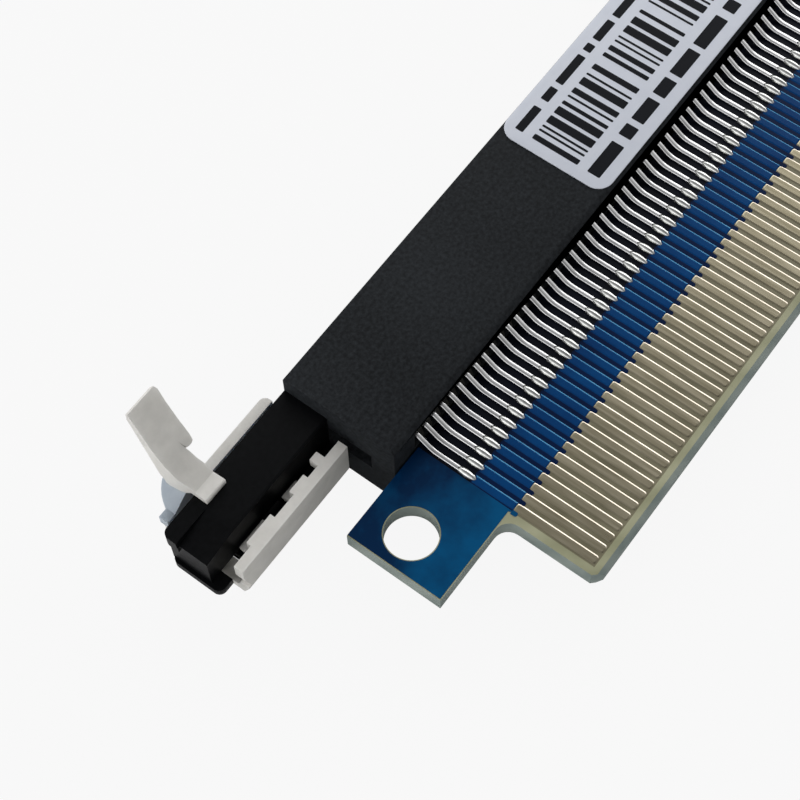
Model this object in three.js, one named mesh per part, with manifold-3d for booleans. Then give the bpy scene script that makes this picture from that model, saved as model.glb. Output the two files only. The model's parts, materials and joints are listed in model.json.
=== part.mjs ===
// A PCI Express extension adapter: a short edge-connector board that carries a full-length card slot.
// Millimetres, +Z up. The adapter lies on one side wall of its slot housing, as it rests on a table.
// X runs along the connector, away from the latch. Y points out of the slot's mouth.
// The origin is the middle of the side wall that it lies on.

import * as THREE from 'three';
import { mergeVertices } from 'three/addons/utils/BufferGeometryUtils.js';
import Module from 'manifold-3d';

const wasm = await Module();
wasm.setup();

// Card edge, common to the board's tongue and to the slot
const contactPitch = 1.0;
const longRunLength = 70;
const shortRunLength = 10;
const keyGap = 3.0;
const cardThickness = 1.6;

// Slot housing
const housingEndMargin = 3.0;
const housingHeight = 9.9;
const housingThickness = 8.1;
const housingChamfer = 0.35;
const slotClearance = 0.15;
const slotDepth = 7.8;
const mouthChamfer = 0.5;
const keyRibWidth = 1.5;
const cavityWidth = 0.6;
const cavityMouthLip = 0.9;
const cavityDepthPastFace = 0.5;
const tailRecessDepth = 0.9;
const tailRecessWall = 0.45;
const tailRecessRise = 0.1;

// Board
const boardSeatGap = 0.13;
const boardBodyDepth = 8.25;
const tongueEndMargin = 1.1;
const tongueChamfer = 0.65;
const plugBevel = 0.35;
const fingerWidth = 0.7;
const fingerLength = 6.9;
const fingerTipMargin = 0.93;
const copperHeight = 0.05;
const keyNotchWidth = 1.9;
const keyNotchDepth = 8.0;
const tabReach = 7.7;
const tabLift = 0.14;
const tabFillet = 1.2;
const plainEndReach = 1.5;
const holeRadius = 2.0;
const holeInset = 2.8;
const holeDrop = 3.55;

// Contacts
const leadWidth = 0.4;
const leadThickness = 0.2;
const footLength = 3.8;
const kneeSetback = 0.9;
const exitHeight = 0.75;
const exitReach = 0.45;
const touchDepth = 2.3;
const combHeight = 0.55;
const combWall = 0.3;
const combGap = 0.1;

// Latch base, a block on the housing's latch end
const baseThickness = 4.75;
const ridgeLength = 13.6;
const ridgeBottomDrop = 3.88;
const ridgeTopDrop = 1.33;
const ridgeSlopeDrop = 0.65;
const ridgeSlopeLength = 3.3;
const ridgeChamfer = 0.15;
const flangeOverhang = 0.2;
const flangeMouthDrop = 0.03;
const flangeCorner = 0.6;
const plateOverhang = 0.3;
const plateThickness = 0.775;
const plateBottomDrop = 4.88;
const plateTopDrop = 0.38;
const plateCorner = 0.6;
const tailSlotWidth = 2.0;
const tailSlotInset = 3.0;
const pegLength = 1.6;
const pegWidth = 0.9;
const pegHeight = 2.0;
const pegSkin = 0.1;
const pegGap = 0.1;

// Hinge between the latch and its base
const hingeDrop = 4.78;
const hingeDepth = 1.3;
const rodRadius = 0.5;
const rodStart = 3.9;
const rodInset = 2.6;
const rodWebSink = 0.2;
const rodWebRise = 0.3;
const clawClearance = 0.12;
const clawWall = 0.45;
const clawOpening = THREE.MathUtils.degToRad(50);
const swingGap = 0.2;

// Retention latch. Insets are counted back from the end of the base's ridge.
const latchEndGap = 0.7;
const latchInset = 1.05;
const railWall = 0.8;
const railTop = 1.85;
const railBottom = 1.85;
const railEndSlope = [0.6, 2.2];
const railGap = 0.15;
const railPad = 0.4;
const longClawInset = 2.95;
const longClawLength = 2.65;
const shortClawStart = 4.25;
const shortClawLength = 1.6;
const railTabStart = 2.3;
const railTabLength = 0.8;
const railTabReach = 0.75;
const railTabDepth = 0.9;
const backArmInset = 1.3;
const backArmLength = 1.4;
const backArmWall = 0.8;
const backArmDepth = 2.5;
const backArmSlotDepth = 0.975;
const backArmOuterSlope = 0.6;
const backArmInnerSlope = 0.35;
const backArmRoot = 0.2;
const barRise = 0.67;
const barWall = 0.8;
const barTop = 0.9;
const barHeight = 0.95;
const leverInset = 3.4;
const leverWidth = 2.1;
const noseReach = 1.25;
const noseThickness = 0.55;
const noseEdge = 0.1;
const noseRestGap = 0.05;
const stemRadius = 2.05;
const stemOffset = 0.4;
const stemDrop = 0.8;

// Lever side view: out from the slot's mouth, and up from the top of the nose
const leverFront = [[-0.18, 0], [1.02, 0.93], [2.12, 2.4], [4.82, 6.28]];
const leverTip = [[5.04, 6.08], [5.07, 5.18]];
const leverBack = [[4.82, 4.36], [3.6, 1.6], [2.75, -0.3], [2.4, -0.8]];
const lobeFoot = [[1.1, 2.295], [4.2, 0.17]];
const lobeClearance = 6;

// Lever seen from above: in from its outer side, and out from the slot's mouth
const armEdge = [[2.02, 0.57], [1.82, 1.53], [1.6, 2.25]];
const lobeEdge = [
  [1.82, 1.82], [2.19, 1.66], [2.54, 1.84], [2.62, 2.1], [2.66, 2.96], [2.77, 3.98], [2.9, 4.6],
];
const outerEdge = [[0.05, 4.83], [-0.1, 3.9], [-0.25, 2.9], [-0.3, 2], [-0.2, 1], [0, 0.2]];
const planReach = 6;

// Depth by which the blocks of one moulding run into each other, and by which a cutter runs past what it cuts
const weld = 0.1;
const overcut = 1;

// Label
const labelLength = 36.6;
const labelWidth = 9.55;
const labelThickness = 0.1;
const labelCorner = 1.3;
const labelMouthMargin = 0.08;

// Places that follow from the sizes
const longRun = Math.round(longRunLength / contactPitch) + 1;
const shortRun = Math.round(shortRunLength / contactPitch) + 1;
const rowSpan = (longRun + shortRun - 2) * contactPitch + keyGap;
const firstContactX = -rowSpan / 2;
const keyX = firstContactX + (longRun - 1) * contactPitch + keyGap / 2;
const housingEndX = -rowSpan / 2 - housingEndMargin;
const mouthY = housingHeight / 2;
const housingBaseY = -housingHeight / 2;
const midZ = housingThickness / 2;
const slotHalf = cardThickness / 2 + slotClearance;
const boardTopEdgeY = housingBaseY - boardSeatGap;
const maskLineY = boardTopEdgeY - boardBodyDepth;
const tongueBottomY = maskLineY - fingerLength - fingerTipMargin;
const tongueSideX = rowSpan / 2 + tongueEndMargin;

// Stretches of the latch end, counted from the housing's end
const longClaw = [ridgeLength - longClawInset - longClawLength, ridgeLength - longClawInset];
const shortClaw = [shortClawStart, shortClawStart + shortClawLength];
const railTab = [railTabStart, railTabStart + railTabLength];
const backArm = [ridgeLength - backArmInset - backArmLength, ridgeLength - backArmInset];
const rodStretch = [rodStart, ridgeLength - rodInset];
const railStretch = [latchEndGap, ridgeLength - latchInset];

function contactX(index) {
  const afterKey = index >= longRun;
  const steps = afterKey ? index - 1 : index;
  return firstContactX + steps * contactPitch + (afterKey ? keyGap : 0);
}

// Geometry helpers

function solidOf(geometry) {
  const bare = geometry.index ? geometry.toNonIndexed() : geometry.clone();
  bare.deleteAttribute('normal');
  bare.deleteAttribute('uv');
  const merged = mergeVertices(bare, 1e-5);
  return new wasm.Manifold(new wasm.Mesh({
    numProp: 3,
    vertProperties: new Float32Array(merged.attributes.position.array),
    triVerts: new Uint32Array(merged.index.array),
  }));
}

function meshOf(name, solid, material) {
  const result = solid.getMesh();
  const geometry = new THREE.BufferGeometry();
  geometry.setAttribute('position', new THREE.BufferAttribute(result.vertProperties, 3));
  geometry.setIndex(new THREE.BufferAttribute(result.triVerts, 1));
  geometry.computeVertexNormals();
  const mesh = new THREE.Mesh(geometry, material);
  mesh.name = name;
  return mesh;
}

function joined(solids) {
  return solids.reduce((whole, solid) => whole.add(solid));
}

function box(xRange, yRange, zRange) {
  const geometry = new THREE.BoxGeometry(xRange[1] - xRange[0], yRange[1] - yRange[0], zRange[1] - zRange[0]);
  geometry.translate((xRange[0] + xRange[1]) / 2, (yRange[0] + yRange[1]) / 2, (zRange[0] + zRange[1]) / 2);
  return solidOf(geometry);
}

// A list of points, or a shape that is left as it is
function shapeOf(outline) {
  if (outline instanceof THREE.Shape) return outline;
  return new THREE.Shape(outline.map(([a, b]) => new THREE.Vector2(a, b)));
}

// A closed outline in X and Y, raised over a range of Z
function raised(outline, zRange, curveSegments = 6) {
  const shape = shapeOf(outline);
  const geometry = new THREE.ExtrudeGeometry(shape, {
    depth: zRange[1] - zRange[0],
    bevelEnabled: false,
    curveSegments,
  });
  geometry.translate(0, 0, zRange[0]);
  return solidOf(geometry);
}

// A closed section in Y and Z, drawn out over a range of X
function drawn(section, xRange, curveSegments = 6) {
  const shape = shapeOf(section);
  const geometry = new THREE.ExtrudeGeometry(shape, {
    depth: xRange[1] - xRange[0],
    bevelEnabled: false,
    curveSegments,
  });
  // The section's axes become Y and Z, and the extrusion runs along X
  geometry.applyMatrix4(new THREE.Matrix4().makeBasis(
    new THREE.Vector3(0, 1, 0),
    new THREE.Vector3(0, 0, 1),
    new THREE.Vector3(1, 0, 0),
  ));
  geometry.translate(xRange[0], 0, 0);
  return solidOf(geometry);
}

// A closed outline in X and Z, run over a range of Y
function run(outline, yRange) {
  const shape = new THREE.Shape(outline.map(([x, z]) => new THREE.Vector2(x, -z)));
  const geometry = new THREE.ExtrudeGeometry(shape, { depth: yRange[1] - yRange[0], bevelEnabled: false });
  geometry.rotateX(-Math.PI / 2);
  geometry.translate(0, yRange[0], 0);
  return solidOf(geometry);
}

// A strip of constant thickness along a path of points in Y and Z
function stripSection(path, thickness) {
  const side = (sign) => path.map((point, i) => {
    const before = path[Math.max(i - 1, 0)];
    const after = path[Math.min(i + 1, path.length - 1)];
    const arriving = new THREE.Vector2(point[0] - before[0], point[1] - before[1]).normalize();
    const leaving = new THREE.Vector2(after[0] - point[0], after[1] - point[1]).normalize();
    const along = arriving.clone().add(leaving).normalize();
    const spread = thickness / 2 / Math.max(along.dot(arriving), along.dot(leaving));
    return [point[0] - sign * spread * along.y, point[1] + sign * spread * along.x];
  });
  return [...side(1), ...side(-1).reverse()];
}

function roundedOutline(xRange, yRange, radii) {
  const [x0, x1] = xRange;
  const [y0, y1] = yRange;
  const [lowLeft, lowRight, highRight, highLeft] = radii;
  const shape = new THREE.Shape();
  shape.moveTo(x0 + lowLeft, y0);
  shape.lineTo(x1 - lowRight, y0);
  if (lowRight) shape.absarc(x1 - lowRight, y0 + lowRight, lowRight, -Math.PI / 2, 0, false);
  shape.lineTo(x1, y1 - highRight);
  if (highRight) shape.absarc(x1 - highRight, y1 - highRight, highRight, 0, Math.PI / 2, false);
  shape.lineTo(x0 + highLeft, y1);
  if (highLeft) shape.absarc(x0 + highLeft, y1 - highLeft, highLeft, Math.PI / 2, Math.PI, false);
  shape.lineTo(x0, y0 + lowLeft);
  if (lowLeft) shape.absarc(x0 + lowLeft, y0 + lowLeft, lowLeft, Math.PI, Math.PI * 1.5, false);
  return shape;
}

// Slot housing: a long block with a card slot, a cavity for each contact and a recess for the leads

function buildHousing() {
  const bodyOutline = [
    [housingBaseY, housingChamfer],
    [housingBaseY + housingChamfer, 0],
    [mouthY, 0],
    [mouthY, housingThickness],
    [housingBaseY + housingChamfer, housingThickness],
    [housingBaseY, housingThickness - housingChamfer],
  ];
  const body = drawn(bodyOutline, [housingEndX, -housingEndX]);
  const slotFloorY = mouthY - slotDepth;
  // The slot runs out through the latch end, has a lead-in at the mouth, and stops at the key rib
  const slotSection = [
    [slotFloorY, midZ - slotHalf],
    [mouthY - mouthChamfer, midZ - slotHalf],
    [mouthY + overcut, midZ - slotHalf - mouthChamfer - overcut],
    [mouthY + overcut, midZ + slotHalf + mouthChamfer + overcut],
    [mouthY - mouthChamfer, midZ + slotHalf],
    [slotFloorY, midZ + slotHalf],
  ];
  const cuts = [
    drawn(slotSection, [housingEndX - overcut, keyX - keyRibWidth / 2]),
    drawn(slotSection, [keyX + keyRibWidth / 2, tongueSideX + slotClearance]),
  ];
  const recessTopY = housingBaseY + tailRecessDepth;
  const cavityTopY = mouthY - cavityMouthLip;
  for (const side of [1, -1]) {
    const cavitySection = [
      [recessTopY - 0.1, midZ + side * (combInner() - combGap)],
      [recessTopY - 0.1, midZ + side * (combOuter() + combGap)],
      [cavityTopY, midZ + side * (combOuter() + combGap)],
      [cavityTopY, midZ + side * (cardThickness / 2 - cavityDepthPastFace)],
    ];
    for (let i = 0; i < longRun + shortRun; i += 1) {
      const x = contactX(i);
      cuts.push(drawn(cavitySection, [x - cavityWidth / 2, x + cavityWidth / 2]));
    }
  }
  for (const run of runRanges()) {
    for (const side of [1, -1]) {
      const near = midZ + side * (cardThickness / 2 + tailRecessRise);
      const far = midZ + side * (housingThickness / 2 - tailRecessWall);
      cuts.push(box(
        [run[0] - combWall - leadWidth / 2 - combGap, run[1] + combWall + leadWidth / 2 + combGap],
        [housingBaseY - overcut, recessTopY],
        [Math.min(near, far), Math.max(near, far)],
      ));
    }
  }
  for (const side of [1, -1]) {
    cuts.push(pegBox(side, [housingEndX - overcut, housingEndX + pegLength + pegGap], pegGap));
  }
  return body.subtract(joined(cuts));
}

// Where the long and the short run of contacts start and end
function runRanges() {
  return [
    [contactX(0), contactX(longRun - 1)],
    [contactX(longRun), contactX(longRun + shortRun - 1)],
  ];
}

function combInner() {
  return cardThickness / 2 + exitHeight - combWall;
}

function combOuter() {
  return cardThickness / 2 + exitHeight + combWall;
}

// The latch base plugs into two sockets in the housing's end wall
function pegBox(side, xRange, growth) {
  const z = midZ + side * (baseThickness / 2 - pegSkin - pegWidth / 2);
  const y = mouthY - (ridgeBottomDrop + ridgeTopDrop) / 2;
  return box(
    xRange,
    [y - pegHeight / 2 - growth, y + pegHeight / 2 + growth],
    [z - pegWidth / 2 - growth, z + pegWidth / 2 + growth],
  );
}

// Board: tongue with contact fingers on both faces, body under the slot, and a fixing tab

function boardOutline() {
  const tabSideX = -tongueSideX - tabReach;
  const tabBottomY = maskLineY + tabLift;
  const plainEndX = tongueSideX + plainEndReach;
  const c = tongueChamfer;
  const f = tabFillet;
  const notchHalf = keyNotchWidth / 2;
  const notchTopY = tongueBottomY + keyNotchDepth;
  const shape = new THREE.Shape();
  shape.moveTo(tabSideX, tabBottomY);
  shape.lineTo(-tongueSideX - f, tabBottomY);
  shape.absarc(-tongueSideX - f, tabBottomY - f, f, Math.PI / 2, 0, true);
  shape.lineTo(-tongueSideX, tongueBottomY + c);
  shape.lineTo(-tongueSideX + c, tongueBottomY);
  shape.lineTo(keyX - notchHalf, tongueBottomY);
  shape.lineTo(keyX - notchHalf, notchTopY - notchHalf);
  shape.absarc(keyX, notchTopY - notchHalf, notchHalf, Math.PI, 0, true);
  shape.lineTo(keyX + notchHalf, tongueBottomY);
  shape.lineTo(tongueSideX - c, tongueBottomY);
  shape.lineTo(tongueSideX, tongueBottomY + c);
  shape.lineTo(tongueSideX, tabBottomY - f);
  shape.absarc(tongueSideX + f, tabBottomY - f, f, Math.PI, Math.PI / 2, true);
  shape.lineTo(plainEndX, tabBottomY);
  shape.lineTo(plainEndX, boardTopEdgeY);
  shape.lineTo(tabSideX, boardTopEdgeY);
  shape.closePath();
  return shape;
}

function buildBoard() {
  const low = midZ - cardThickness / 2;
  const high = midZ + cardThickness / 2;
  const sheet = raised(boardOutline(), [low, high], 8);
  const hole = new THREE.CylinderGeometry(holeRadius, holeRadius, cardThickness + 2, 40);
  hole.rotateX(Math.PI / 2);
  hole.translate(-tongueSideX - tabReach + holeInset, boardTopEdgeY - holeDrop, midZ);
  // The plug edge is bevelled on both faces
  const bevels = [1, -1].map((side) => drawn([
    [tongueBottomY - overcut, midZ + side * (cardThickness / 2 - plugBevel - overcut)],
    [tongueBottomY - overcut, midZ + side * (cardThickness / 2 + overcut)],
    [tongueBottomY + plugBevel + overcut, midZ + side * (cardThickness / 2 + overcut)],
  ], [-tongueSideX - overcut, tongueSideX + overcut]));
  const fingers = [];
  for (let i = 0; i < longRun + shortRun; i += 1) {
    const x = contactX(i);
    fingers.push(box(
      [x - fingerWidth / 2, x + fingerWidth / 2],
      [maskLineY - fingerLength, maskLineY],
      [low - copperHeight, high + copperHeight],
    ));
  }
  return sheet.subtract(solidOf(hole)).subtract(joined(bevels)).add(joined(fingers));
}

// Contacts: one bent strip for each position, held in line by the comb bar at the housing's base

function buildContactRow(first, last, side) {
  const face = cardThickness / 2;
  const footZ = face + leadThickness / 2;
  const path = [
    [boardTopEdgeY - kneeSetback - footLength, footZ],
    [boardTopEdgeY - kneeSetback, footZ],
    [housingBaseY + exitReach, face + exitHeight],
    [mouthY - touchDepth, face + leadThickness / 2],
  ].map(([y, z]) => [y, midZ + side * z]);
  const section = stripSection(path, leadThickness);
  const strips = [];
  for (let i = first; i <= last; i += 1) {
    const x = contactX(i);
    strips.push(drawn(section, [x - leadWidth / 2, x + leadWidth / 2]));
  }
  const inner = midZ + side * combInner();
  const outer = midZ + side * combOuter();
  const comb = box(
    [contactX(first) - leadWidth / 2 - combWall, contactX(last) + leadWidth / 2 + combWall],
    [housingBaseY + combGap, housingBaseY + combGap + combHeight],
    [Math.min(inner, outer), Math.max(inner, outer)],
  );
  return joined(strips).add(comb);
}

// Latch base: a black block on the housing's end, with a slot for the tail of a card

const ridgeBottomY = mouthY - ridgeBottomDrop;
const ridgeTopY = mouthY - ridgeTopDrop;
const ridgeEndX = housingEndX - ridgeLength;
const plateBottomY = mouthY - plateBottomDrop;
const baseLowZ = midZ - baseThickness / 2;
const baseHighZ = midZ + baseThickness / 2;
const hingeY = mouthY - hingeDrop;
const hingeZ = midZ - hingeDepth;
const clawInner = rodRadius + clawClearance;
const clawOuter = clawInner + clawWall;
const railInnerY = hingeY - rodRadius - railGap;
const railOuterY = railInnerY - railWall;

// A stretch counted from the housing's end becomes a range of X, with an optional margin
function beyondEnd(stretch, margin = 0) {
  return [housingEndX - stretch[1] - margin, housingEndX - stretch[0] + margin];
}

function buildLatchBase() {
  const plateTopZ = baseLowZ + plateThickness;
  const ridge = drawn([
    [ridgeBottomY, plateTopZ - weld],
    [ridgeTopY, plateTopZ - weld],
    [ridgeTopY, baseHighZ],
    [ridgeBottomY + ridgeChamfer, baseHighZ],
    [ridgeBottomY, baseHighZ - ridgeChamfer],
  ], [ridgeEndX, housingEndX]);
  const flange = raised(
    roundedOutline(
      [ridgeEndX - flangeOverhang, housingEndX],
      [ridgeTopY - weld, mouthY - flangeMouthDrop],
      [0, 0, 0, flangeCorner],
    ),
    [midZ + tailSlotWidth / 2, baseHighZ],
  );
  const plate = raised(
    roundedOutline(
      [ridgeEndX - plateOverhang, housingEndX],
      [plateBottomY, mouthY - plateTopDrop],
      [plateCorner, 0, 0, plateCorner],
    ),
    [baseLowZ, plateTopZ],
  );
  const backWall = box(
    [ridgeEndX, housingEndX],
    [ridgeTopY - weld, mouthY - plateTopDrop],
    [plateTopZ - weld, midZ - tailSlotWidth / 2],
  );
  const endWall = box(
    [ridgeEndX, ridgeEndX + tailSlotInset],
    [ridgeTopY - weld, mouthY - plateTopDrop],
    [plateTopZ - weld, midZ + tailSlotWidth / 2 + weld],
  );
  const rodRange = beyondEnd(rodStretch);
  const rod = new THREE.CylinderGeometry(rodRadius, rodRadius, rodRange[1] - rodRange[0], 24);
  rod.rotateZ(Math.PI / 2);
  rod.translate((rodRange[0] + rodRange[1]) / 2, hingeY, hingeZ);
  const rodWeb = box(
    rodRange,
    [hingeY, ridgeBottomY + rodWebSink],
    [baseLowZ + rodWebSink, hingeZ + rodWebRise],
  );
  const pegs = [1, -1].map((side) => pegBox(side, [housingEndX - overcut, housingEndX + pegLength], 0));
  const whole = joined([ridge, flange, plate, backWall, endWall, rodWeb, ...pegs]);

  // The ridge's top falls away towards its end
  const slope = run([
    [ridgeEndX - overcut, baseHighZ - ridgeSlopeDrop * (1 + overcut / ridgeSlopeLength)],
    [ridgeEndX + ridgeSlopeLength, baseHighZ],
    [ridgeEndX + ridgeSlopeLength, baseHighZ + overcut],
    [ridgeEndX - overcut, baseHighZ + overcut],
  ], [ridgeBottomY - overcut, ridgeTopY]);

  const cuts = [slope];
  for (const claw of [longClaw, shortClaw]) {
    cuts.push(box(
      beyondEnd(claw, swingGap),
      [plateBottomY - overcut, hingeY + clawOuter + swingGap],
      [baseLowZ - overcut, plateTopZ],
    ));
    cuts.push(box(
      beyondEnd(claw, swingGap),
      [plateBottomY - overcut, ridgeBottomY],
      [baseLowZ - overcut, hingeZ + rodRadius],
    ));
  }
  cuts.push(box(
    beyondEnd(backArm, swingGap),
    [plateBottomY - overcut, mouthY],
    [baseLowZ - overcut, baseLowZ + backArmSlotDepth],
  ));
  return whole.subtract(joined(cuts)).add(solidOf(rod));
}

// Retention latch: a rail that snaps on the hinge rod, a back arm, a bar over the tail slot and a lever

function buildLatch() {
  const railX = beyondEnd(railStretch);
  const railLowZ = midZ - railBottom;
  const railHighZ = midZ + railTop;
  const rail = run([
    [railX[0] + railEndSlope[0], railLowZ],
    [railX[1], railLowZ],
    [railX[1], railHighZ],
    [railX[0], railHighZ],
    [railX[0], railLowZ + railEndSlope[1]],
  ], [railOuterY, railInnerY]);
  const pieces = [rail];
  for (const claw of [longClaw, shortClaw]) {
    pieces.push(box(
      beyondEnd(claw),
      [railInnerY - weld, railInnerY + railPad],
      [hingeZ + clawOuter, railHighZ],
    ));
    const ring = new THREE.Shape();
    ring.absarc(hingeY, hingeZ, clawOuter, clawOpening, 2 * Math.PI - clawOpening, false);
    ring.absarc(hingeY, hingeZ, clawInner, 2 * Math.PI - clawOpening, clawOpening, true);
    ring.closePath();
    pieces.push(drawn(ring, beyondEnd(claw), 12));
    pieces.push(box(
      beyondEnd(claw),
      [railInnerY - weld, hingeY - clawInner],
      [hingeZ, hingeZ + clawOuter + weld],
    ));
  }
  pieces.push(box(
    beyondEnd(railTab),
    [railInnerY - weld, railInnerY + railTabReach],
    [railHighZ - railTabDepth, railHighZ],
  ));

  const barInnerY = mouthY + barRise;
  const barOuterY = barInnerY + barWall;
  const barLowZ = midZ + barTop - barHeight;
  pieces.push(box(railX, [barInnerY, barOuterY], [barLowZ, midZ + barTop]));

  // The back arm carries the bar round behind the base
  const armInnerZ = midZ - backArmDepth;
  const armOuterZ = armInnerZ - backArmWall;
  pieces.push(drawn([
    [railOuterY, railLowZ],
    [railOuterY + backArmOuterSlope, armOuterZ],
    [barOuterY, armOuterZ],
    [barOuterY, midZ + barTop],
    [barInnerY, midZ + barTop],
    [barInnerY, armInnerZ],
    [railInnerY + backArmInnerSlope, armInnerZ],
    [railInnerY, railLowZ],
    [railInnerY, railLowZ + backArmRoot],
    [railOuterY, railLowZ + backArmRoot],
  ], beyondEnd(backArm)));

  // Lever: the nose rests on the base's flange, and the paddle is pressed to swing the latch
  const noseLowZ = baseHighZ + noseRestGap;
  const noseHighZ = noseLowZ + noseThickness;
  const leverLeft = ridgeEndX + leverInset;
  const fromSide = ([out, up]) => [mouthY + out, noseHighZ + up];
  const fromAbove = ([across, out]) => [leverLeft + across, mouthY + out];
  const leverX = [leverLeft - planReach, leverLeft + planReach];
  const lever = drawn([
    [mouthY - noseReach, noseLowZ],
    [mouthY - noseReach, noseHighZ - noseEdge],
    [mouthY - noseReach + noseEdge, noseHighZ],
    ...[...leverFront, ...leverTip, ...leverBack].map(fromSide),
    [mouthY + barRise + barWall + stemDrop, barLowZ],
    [barInnerY, barLowZ],
    [barInnerY, noseLowZ - barWall / 2],
    [barInnerY - barWall / 2, noseLowZ],
  ], leverX);
  const planZ = [barLowZ - overcut, noseHighZ + leverFront[3][1] + overcut];
  const nosePlan = [[0, -noseReach - overcut], [leverWidth, -noseReach - overcut]];
  const wholePlan = [
    ...nosePlan, ...armEdge, ...lobeEdge, [leverWidth, planReach], [outerEdge[0][0], planReach], ...outerEdge,
  ].map(fromAbove);
  const armPlan = [
    [-planReach, -noseReach - overcut], nosePlan[1], ...armEdge,
    [armEdge[2][0], planReach], [-planReach, planReach],
  ].map(fromAbove);
  const underLobe = drawn([
    ...lobeFoot,
    [lobeFoot[1][0], lobeFoot[1][1] - lobeClearance],
    [lobeFoot[0][0], lobeFoot[1][1] - lobeClearance],
  ].map(fromSide), leverX).subtract(raised(armPlan, planZ));
  pieces.push(lever.intersect(raised(wholePlan, planZ)).subtract(underLobe));

  // A rounded foot spreads the lever on to the bar
  const footX = leverLeft + stemOffset;
  const foot = run([
    [footX - stemRadius, barLowZ],
    [leverLeft + leverWidth, barLowZ],
    [leverLeft + leverWidth, noseHighZ - stemDrop],
    [leverLeft, noseHighZ - stemDrop],
    [footX - stemRadius, midZ + barTop - noseEdge],
  ], [barInnerY, barOuterY + stemRadius]);
  const disc = new THREE.CylinderGeometry(stemRadius, stemRadius, 2 * stemRadius + barHeight, 32);
  disc.rotateX(Math.PI / 2);
  disc.translate(footX, mouthY + stemDrop, midZ + barTop);
  pieces.push(foot.intersect(solidOf(disc)));
  return joined(pieces);
}

function buildLabel() {
  const topY = mouthY - labelMouthMargin;
  return raised(
    roundedOutline(
      [-labelLength / 2, labelLength / 2],
      [topY - labelWidth, topY],
      [labelCorner, labelCorner, labelCorner, labelCorner],
    ),
    [housingThickness, housingThickness + labelThickness],
  );
}

// Materials

const blackPlastic = new THREE.MeshStandardMaterial({ color: 0x2c2f31, roughness: 0.6, metalness: 0 });
const jetPlastic = new THREE.MeshStandardMaterial({ color: 0x121315, roughness: 0.5, metalness: 0 });
const whiteNylon = new THREE.MeshStandardMaterial({ color: 0xd2d2ce, roughness: 0.45, metalness: 0 });
const blueBoard = new THREE.MeshStandardMaterial({ color: 0x0d3a6e, roughness: 0.35, metalness: 0 });
const tinnedMetal = new THREE.MeshStandardMaterial({ color: 0xc4c4c2, roughness: 0.3, metalness: 1 });
const labelFilm = new THREE.MeshStandardMaterial({ color: 0xd5d8e2, roughness: 0.5, metalness: 0 });

// Assembly

const adapter = new THREE.Group();
const lastLong = longRun - 1;
const lastContact = longRun + shortRun - 1;
adapter.add(
  meshOf('slot_housing', buildHousing(), blackPlastic),
  meshOf('edge_board', buildBoard(), blueBoard),
  meshOf('front_contacts_long', buildContactRow(0, lastLong, 1), tinnedMetal),
  meshOf('front_contacts_short', buildContactRow(longRun, lastContact, 1), tinnedMetal),
  meshOf('back_contacts_long', buildContactRow(0, lastLong, -1), tinnedMetal),
  meshOf('back_contacts_short', buildContactRow(longRun, lastContact, -1), tinnedMetal),
  meshOf('latch_base', buildLatchBase(), jetPlastic),
  meshOf('label', buildLabel(), labelFilm),
);

// The latch swings about the rod's axis, which runs along X
const latch = new THREE.Group();
latch.position.set(housingEndX, hingeY, hingeZ);
const latchMesh = meshOf('retention_latch', buildLatch(), whiteNylon);
latchMesh.geometry.translate(-housingEndX, -hingeY, -hingeZ);
latch.add(latchMesh);
adapter.add(latch);

export default adapter;
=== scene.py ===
import json
import math
import bmesh
import bpy
from mathutils import Matrix, Vector

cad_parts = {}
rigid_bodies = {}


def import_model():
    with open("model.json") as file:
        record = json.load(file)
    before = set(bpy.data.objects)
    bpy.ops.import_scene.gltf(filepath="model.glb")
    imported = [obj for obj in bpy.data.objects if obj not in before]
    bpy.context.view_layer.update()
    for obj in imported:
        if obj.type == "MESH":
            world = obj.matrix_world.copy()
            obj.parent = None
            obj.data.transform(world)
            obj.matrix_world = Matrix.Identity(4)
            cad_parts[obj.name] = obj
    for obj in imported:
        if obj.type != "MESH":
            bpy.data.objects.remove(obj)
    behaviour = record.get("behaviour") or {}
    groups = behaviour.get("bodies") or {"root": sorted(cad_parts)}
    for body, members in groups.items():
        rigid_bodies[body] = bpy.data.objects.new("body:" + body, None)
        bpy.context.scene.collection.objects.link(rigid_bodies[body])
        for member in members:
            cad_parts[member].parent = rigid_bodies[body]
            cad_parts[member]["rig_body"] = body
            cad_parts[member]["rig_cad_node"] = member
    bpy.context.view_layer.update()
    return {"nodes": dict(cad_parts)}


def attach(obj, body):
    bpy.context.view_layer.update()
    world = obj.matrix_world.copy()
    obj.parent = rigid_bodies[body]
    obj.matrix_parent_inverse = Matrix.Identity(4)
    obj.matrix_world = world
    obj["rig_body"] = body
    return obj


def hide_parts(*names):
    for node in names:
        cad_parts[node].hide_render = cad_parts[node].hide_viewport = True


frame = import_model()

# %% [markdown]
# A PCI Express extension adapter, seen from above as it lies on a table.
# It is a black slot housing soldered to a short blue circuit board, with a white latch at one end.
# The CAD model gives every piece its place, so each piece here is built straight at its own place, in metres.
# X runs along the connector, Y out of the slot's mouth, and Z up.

MM = 0.001
scene = bpy.context.scene

# %% [markdown]
# The sizes below are those of the CAD source, in millimetres.
# The pitch of 1 mm and the 82 places of a full-length slot tie most of them together.

# %% Sizes shared by the pieces
PITCH = 1.0
LONG_RUN = 71
SHORT_RUN = 11
FIRST_LONG = -41.5
FIRST_SHORT = 31.5
KEY_X = 30.0
MID_Z = 4.05
BOARD_TOP = 4.85
BOARD_BOTTOM = 3.25
BOARD_X = (-50.3, 44.1)
BOARD_Y = (-21.16, -5.08)
TONGUE_X = 42.6
TAB_BOTTOM = -13.19
MASK_LINE = -13.33
FIELD_X = FIRST_LONG - PITCH / 2
FIELD_Y = MASK_LINE - 7.0
HOUSING_X = 44.5
HOUSING_TOP = 8.1
print("the board is", BOARD_X[1] - BOARD_X[0], "mm long")

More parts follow.
